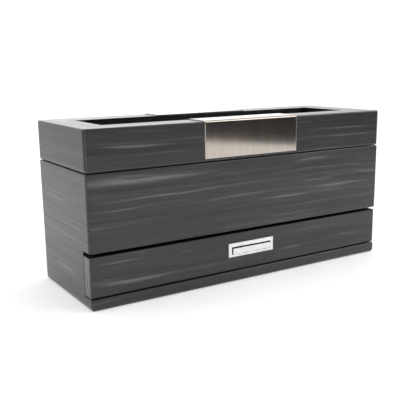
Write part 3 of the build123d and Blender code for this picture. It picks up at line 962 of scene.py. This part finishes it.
@dataclass
class WatchCushions:
    """The five pillows that the watches are strapped round. Sizes are in metres.

    Each is a foam core in a velvet cover: a sleeve closed by two end panels, with a piped seam
    round each end. It is crowned all round and flat only where it sits on the floor pad. The
    seams draw the sleeve in towards its ends, the floor cuts off the lowest part of its round
    foot, and the filling pushes the cloth out by the crown at most. A section with a squareness
    of 2 would be an ellipse. The seam's place is a share of half the length.
    """

    finishes: FinishLibrary
    count: int = 5
    rings: int = 14
    ring_points: int = 48
    squareness: float = 3.1
    end_draw: float = 0.0075
    end_draw_power: int = 4
    foot_draw: float = 0.25
    end_inset: float = 0.0022
    end_bulge: float = 0.7
    end_rings: tuple[float, ...] = (0.75, 0.5, 0.25)
    cut_inset: float = 0.0006
    foot_cut: float = 0.001
    foot_clearance: float = 0.0001
    side_clearance: float = 0.0002
    weave: float = 0.003
    pressure: float = 4.0
    tension: float = 30.0
    bending: float = 2.0
    frames: int = 20
    crown: float = 0.0016
    seam_place: float = 0.93
    piping_radius: float = 0.00085
    piping_sides: int = 8

    def build_all(self) -> None:
        """Build one pillow, then stand a copy of it in each cell."""
        pattern = self._sewn_pillow("watch_cushion_3")
        low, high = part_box("watch_cushion_3")
        middle = (low.x + high.x) / 2
        for index in range(1, self.count + 1):
            node = f"watch_cushion_{index}"
            low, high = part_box(node)
            mesh = pattern.copy()
            mesh.name = f"{node}_pillow"
            turned = Matrix.Scale(-1 if index % 2 else 1, 4, Vector((1, 0, 0)))
            shift = Matrix.Translation(((low.x + high.x) / 2, 0, 0))
            mesh.transform(shift @ turned @ Matrix.Translation((-middle, 0, 0)))
            if index % 2:
                mesh.flip_normals()
            pillow = add_object(f"{node}_pillow", mesh)
            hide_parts(node)
            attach(pillow, "case")
            log.info("%s sewn", pillow.name)

    def _sewn_pillow(self, node: str) -> bpy.types.Mesh:
        """Make the pillow's mesh in the place of one node.

        Args:
            node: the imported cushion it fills.

        Returns:
            The mesh, with its cover and the two piped seams.
        """
        low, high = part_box(node)
        cover = self._cover(low, high)
        cover = self._inflate(cover, low, high)
        mesh = self._add_piping(cover, low, high)
        mesh.materials.append(self.finishes["cushion_velvet"])
        for polygon in mesh.polygons:
            polygon.use_smooth = True
        return mesh

    def _section(self, low: Vector, high: Vector, reach: float, shrink: float) -> list[Vector]:
        """Work out one cross-section of the pillow.

        Args:
            low: lowest corner of the node.
            high: highest corner of the node.
            reach: place along X, from -1 at the left end to 1 at the right.
            shrink: how far the section stays inside the node, in metres.

        Returns:
            The section's points, going round once.
        """
        draw = self.end_draw * abs(reach) ** self.end_draw_power + shrink
        half_y = (high.y - low.y) / 2 - draw
        foot = low.z - self.foot_cut + draw * self.foot_draw
        half_z = (high.z - draw - foot) / 2
        middle = Vector(((low.x + high.x) / 2, (low.y + high.y) / 2, foot + half_z))
        x = middle.x + reach * ((high.x - low.x) / 2 - self.end_inset)
        power = 2 / self.squareness
        points = []
        for step in range(self.ring_points):
            angle = 2 * math.pi * step / self.ring_points
            c, s = math.cos(angle), math.sin(angle)
            y = half_y * math.copysign(abs(c) ** power, c)
            z = half_z * math.copysign(abs(s) ** power, s)
            points.append(Vector((x, middle.y + y, max(middle.z + z, low.z + self.foot_clearance))))
        return points

    def _cover(self, low: Vector, high: Vector) -> bpy.types.Mesh:
        """Make the closed cover: the sleeve's rings and a domed panel at each end.

        Args:
            low: lowest corner of the node.
            high: highest corner of the node.

        Returns:
            The cover as it is cut.
        """
        shape = bmesh.new()
        loops = []
        for ring in range(self.rings + 1):
            reach = math.sin((ring / self.rings - 0.5) * math.pi)
            points = self._section(low, high, reach, self.cut_inset)
            loops.append([shape.verts.new(p) for p in points])
        for first, second in zip(loops, loops[1:]):
            for i in range(self.ring_points):
                j = (i + 1) % self.ring_points
                shape.faces.new((first[i], second[i], second[j], first[j]))
        for loop, sign in ((loops[0], -1), (loops[-1], 1)):
            self._close_end(shape, loop, sign)
        bmesh.ops.recalc_face_normals(shape, faces=shape.faces)
        return mesh_of(shape, "pillow_cover")

    def _close_end(self, shape: bmesh.types.BMesh, loop: list[bmesh.types.BMVert], sign: int) -> None:
        """Close one end of the sleeve with a panel that bulges slightly.

        Args:
            shape: the cover, which gets the panel.
            loop: the sleeve's last ring.
            sign: -1 at the left end, 1 at the right.
        """
        middle = sum((v.co for v in loop), Vector()) / len(loop)
        before = loop
        for share in self.end_rings:
            bulge = self.end_inset * self.end_bulge * (1 - share**2)
            ring = [
                shape.verts.new(middle + (v.co - middle) * share + Vector((sign * bulge, 0, 0))) for v in loop
            ]
            for i in range(len(loop)):
                j = (i + 1) % len(loop)
                shape.faces.new((before[i], before[j], ring[j], ring[i]))
            before = ring
        tip = shape.verts.new(middle + Vector((sign * self.end_inset * self.end_bulge, 0, 0)))
        for i in range(len(loop)):
            shape.faces.new((before[i], before[(i + 1) % len(loop)], tip))

    def _inflate(self, mesh: bpy.types.Mesh, low: Vector, high: Vector) -> bpy.types.Mesh:
        """Fill the cover by a short cloth simulation, kept inside the node's own space.

        Args:
            mesh: the cover as it is cut.
            low: lowest corner of the node.
            high: highest corner of the node.

        Returns:
            The filled cover.
        """
        scene = bpy.context.scene
        piece = add_object("pillow_under_pressure", mesh)
        remesh = piece.modifiers.new("even", "REMESH")
        remesh.mode = "VOXEL"
        remesh.voxel_size = self.weave
        depsgraph = bpy.context.evaluated_depsgraph_get()
        even = bpy.data.meshes.new_from_object(piece.evaluated_get(depsgraph))
        piece.modifiers.clear()
        piece.data = even
        start = [v.co.copy() for v in even.vertices]
        cloth = piece.modifiers.new("filled", "CLOTH")
        cloth.settings.use_pressure = True
        cloth.settings.uniform_pressure_force = self.pressure
        cloth.settings.effector_weights.gravity = 0.0
        cloth.settings.tension_stiffness = self.tension
        cloth.settings.bending_stiffness = self.bending
        cloth.point_cache.frame_start = 1
        cloth.point_cache.frame_end = self.frames
        for frame in range(1, self.frames + 1):
            scene.frame_set(frame)
        depsgraph = bpy.context.evaluated_depsgraph_get()
        filled = bpy.data.meshes.new_from_object(piece.evaluated_get(depsgraph))
        scene.frame_set(1)
        limit = high - Vector((self.side_clearance,) * 3)
        floor = low + Vector((self.side_clearance, self.side_clearance, self.foot_clearance))
        for vertex, before in zip(filled.vertices, start):
            move = vertex.co - before
            if move.length > self.crown:
                move *= self.crown / move.length
            place = before + move
            vertex.co = Vector(min(max(place[i], floor[i]), limit[i]) for i in range(3))
        bpy.data.objects.remove(piece)
        return self._subdivided(filled)

    @staticmethod
    def _subdivided(mesh: bpy.types.Mesh) -> bpy.types.Mesh:
        """Smooth a mesh by one level of subdivision.

        Args:
            mesh: the mesh.

        Returns:
            The finer mesh.
        """
        carrier = add_object("pillow_smoothing", mesh)
        smooth = carrier.modifiers.new("smooth", "SUBSURF")
        smooth.levels = 1
        smooth.render_levels = 1
        depsgraph = bpy.context.evaluated_depsgraph_get()
        result = bpy.data.meshes.new_from_object(carrier.evaluated_get(depsgraph))
        bpy.data.objects.remove(carrier)
        return result

    def _add_piping(self, mesh: bpy.types.Mesh, low: Vector, high: Vector) -> bpy.types.Mesh:
        """Lay a piped seam round both ends, on the cover, and join it to the mesh.

        Args:
            mesh: the filled cover.
            low: lowest corner of the node.
            high: highest corner of the node.

        Returns:
            The cover with its piping.
        """
        shape = bmesh.new()
        shape.from_mesh(mesh)
        tree = BVHTree.FromBMesh(shape)
        for reach in (-self.seam_place, self.seam_place):
            path = []
            for point in self._section(low, high, reach, 0.0):
                found = tree.find_nearest(point)[0]
                path.append(Vector((found.x, found.y, max(found.z, low.z + self.piping_radius))))
            self._tube(shape, path)
        return mesh_of(shape, "pillow")

    def _tube(self, shape: bmesh.types.BMesh, path: list[Vector]) -> None:
        """Add a closed round tube.

        Args:
            shape: the pillow, which gets the tube.
            path: the tube's centre line, in a plane of constant X.
        """
        middle = sum(path, Vector()) / len(path)
        sides = self.piping_sides
        turns = [2 * math.pi * k / sides for k in range(sides)]
        sideways = Vector((self.piping_radius, 0, 0))
        rings = []
        for point in path:
            outward = (point - middle).normalized()
            outward.x = 0
            outward = outward.normalized() * self.piping_radius
            ring = [point + outward * math.cos(turn) + sideways * math.sin(turn) for turn in turns]
            rings.append([shape.verts.new(corner) for corner in ring])
        for first, second in zip(rings, rings[1:] + rings[:1]):
            for i in range(sides):
                j = (i + 1) % sides
                shape.faces.new((first[i], first[j], second[j], second[i]))


@dataclass(frozen=True)
class SoftBox:
    """One soft box, turned towards the middle of the box.

    Args:
        name: its name.
        place: where it hangs, in metres.
        width: its width, in metres.
        power: its power, in watts.
        height_share: its height, as a share of its width.
        aim: the point it is turned to, in metres.
    """

    name: str
    place: tuple[float, float, float]
    width: float
    power: float
    height_share: float = 0.7
    aim: tuple[float, float, float] = (0.0, 0.0, 0.08)

    def hang(self) -> None:
        """Hang the soft box."""
        lamp = bpy.data.lights.new(self.name, "AREA")
        lamp.shape = "RECTANGLE"
        lamp.size = self.width
        lamp.size_y = self.width * self.height_share
        lamp.energy = self.power
        holder = add_object(self.name, lamp)
        holder.location = self.place
        aim = Vector(self.aim) - holder.location
        holder.rotation_euler = aim.to_track_quat("-Z", "Y").to_euler()
        log.info("%s hung", self.name)


@dataclass
class Studio:
    """The white table, the surrounding white cyclorama, the dark end of the room, lamps and camera.

    Lengths are in metres and angles in degrees.
    """

    table_half_width: float = 1.11
    table_behind_camera: float = 1.0
    table_length: float = 5.0
    table_glow: float = 0.32
    table_colour: str = "f8f8f8"
    table_mottled: str = "f3f3f3"
    mottles_per_metre: float = 60.0
    camera_place: tuple[float, float, float] = (-0.371131, -0.564535, 0.208469)
    yaw: float = 32.3432
    pitch: float = 12.3255
    roll: float = -0.6265
    focal_length: float = 56.86
    sensor: float = 36.0
    backdrop_direction: tuple[float, float, float] = (0.37, 0.92, 0.1)
    # One above and to the left, and one in front to the right
    lamps: tuple[SoftBox, ...] = (
        SoftBox("soft_box_left", (-1.2, 0.1, 1.4), 1.2, 3.8),
        SoftBox("soft_box_right", (1.3, -1.0, 1.1), 1.3, 11.5),
    )

    def build(self) -> None:
        """Build the whole set."""
        self._table()
        self._surroundings()
        for lamp in self.lamps:
            lamp.hang()
        self._camera()

    def _table(self) -> None:
        """Lay the white table top."""
        mesh = bpy.data.meshes.new("table_top")
        yaw = math.radians(self.yaw)
        away = Vector((math.sin(yaw), math.cos(yaw), 0))
        right = Vector((math.cos(yaw), -math.sin(yaw), 0))
        stand = Vector((self.camera_place[0], self.camera_place[1], 0))
        near = stand - away * self.table_behind_camera
        far = near + away * self.table_length
        side = right * self.table_half_width
        mesh.from_pydata([near - side, near + side, far + side, far - side], [], [(0, 1, 2, 3)])
        table = add_object("table_top", mesh)
        material, add, shader, place = new_material("white_laminate")
        mottle = add("TexNoise", {"Vector": place, "Scale": self.mottles_per_metre, "Detail": 3.0})
        tone = add("ValToRGB", {0: mottle})
        colour_ramp(tone, [(0.3, self.table_mottled), (0.7, self.table_colour)])
        feed(shader, {"Base Color": tone, "Roughness": 0.7, "Specular IOR Level": 0.1})
        rays = add("LightPath").node.outputs
        mirrored = add(
            "Math", {0: rays["Is Glossy Ray"], 1: rays["Is Transmission Ray"]}, operation="MAXIMUM"
        )
        seen = add("Math", {0: rays["Is Camera Ray"], 1: mirrored}, operation="MAXIMUM")
        glow = add("Emission", {"Color": srgb("ffffff"), "Strength": self.table_glow})
        nothing = add("Emission", {"Color": srgb("000000"), "Strength": 0.0})
        lift = add("MixShader", {0: seen, 1: nothing, 2: glow})
        resurface(material, add("AddShader", {0: shader.outputs[0], 1: lift}))
        mesh.materials.append(material)
        log.info("table laid")

    def _surroundings(self) -> None:
        """Hang white all round, except for the dark end of the room in front of the table."""
        world = bpy.data.worlds.new("studio")
        bpy.context.scene.world = world
        world.use_nodes = True
        world.node_tree.nodes.clear()
        add = partial(add_node, world.node_tree)
        direction = add("TexCoord", output="Generated")
        parts = add("SeparateXYZ", {0: direction}).node.outputs
        behind = {0: direction, 1: self.backdrop_direction}
        facing = add("VectorMath", behind, output="Value", operation="DOT_PRODUCT")
        forward, overhead, flagged, backdrop = (
            add(
                "MapRange",
                {"Value": value, "From Min": start, "From Max": end, "To Min": low, "To Max": high},
                interpolation_type="SMOOTHSTEP",
            )
            for value, start, end, low, high in (
                # -Y is in front of the box: dark from the table's edge up, and white again overhead
                (parts[1], -0.35, -0.05, 0.0, 1.0),
                (parts[2], 0.45, 0.75, 0.0, 1.0),
                # A grey flag stands at the far left
                (parts[0], -0.9, -0.1, 0.6, 1.0),
                # A lamp of its own lights the backdrop right behind the box, low and to the left
                (facing, 0.84, 1.0, 0.0, 0.75),
            )
        )
        lit = add("Math", {0: forward, 1: overhead}, operation="MAXIMUM")
        room = add("MapRange", {"Value": lit, "To Min": 0.06, "To Max": flagged})
        level = add("Math", {0: room, 1: backdrop}, operation="ADD")
        seen = add("LightPath", output="Is Camera Ray")
        strength = add("Math", {0: level, 1: seen}, operation="MAXIMUM")
        sky = add("Background", {"Color": srgb("ffffff"), "Strength": strength})
        add("OutputWorld", {"Surface": sky})
        log.info("surroundings hung")

    def _camera(self) -> None:
        """Stand the camera where the photograph was taken from."""
        yaw, pitch, roll = (math.radians(a) for a in (self.yaw, self.pitch, self.roll))
        forward = Vector((math.sin(yaw) * math.cos(pitch), math.cos(yaw) * math.cos(pitch), -math.sin(pitch)))
        level_right = Vector((math.cos(yaw), -math.sin(yaw), 0))
        level_up = level_right.cross(forward)
        right = math.cos(roll) * level_right + math.sin(roll) * level_up
        up = -math.sin(roll) * level_right + math.cos(roll) * level_up
        lens = bpy.data.cameras.new("photographer")
        lens.lens = self.focal_length
        lens.sensor_width = self.sensor
        lens.clip_start = 0.01
        camera = add_object("photographer", lens)
        turn = Matrix((right, up, -forward)).transposed().to_4x4()
        camera.matrix_world = Matrix.Translation(self.camera_place) @ turn
        bpy.context.scene.camera = camera
        log.info("camera placed")


def main() -> None:
    """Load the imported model, dress it and set up the studio."""
    logging.basicConfig(level=logging.INFO, format="%(name)s: %(message)s")
    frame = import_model()
    nodes = frame["nodes"]
    bodies = frame["record"]["behaviour"]["bodies"]
    body_of = {name: body for body, names in bodies.items() for name in names}
    bpy.context.scene.view_settings.view_transform = "Standard"
    finishes = FinishLibrary()
    finishes.build()
    VeneeredCarcase(nodes, finishes).dress_all()
    MetalAndGlass(nodes, finishes).dress_all()
    boards = VelvetBoards(finishes)
    for name in sorted(nodes):
        if "lining" in name:
            boards.build(name, body_of[name])
        elif name.startswith("divider"):
            boards.build(name, body_of[name], boards.divider_round)
        elif name in ("floor_pad", "drawer_pad"):
            boards.build(name, body_of[name])
    BaseFelt(finishes).build()
    WatchCushions(finishes).build_all()
    Studio().build()


if __name__ == "__main__":
    main()
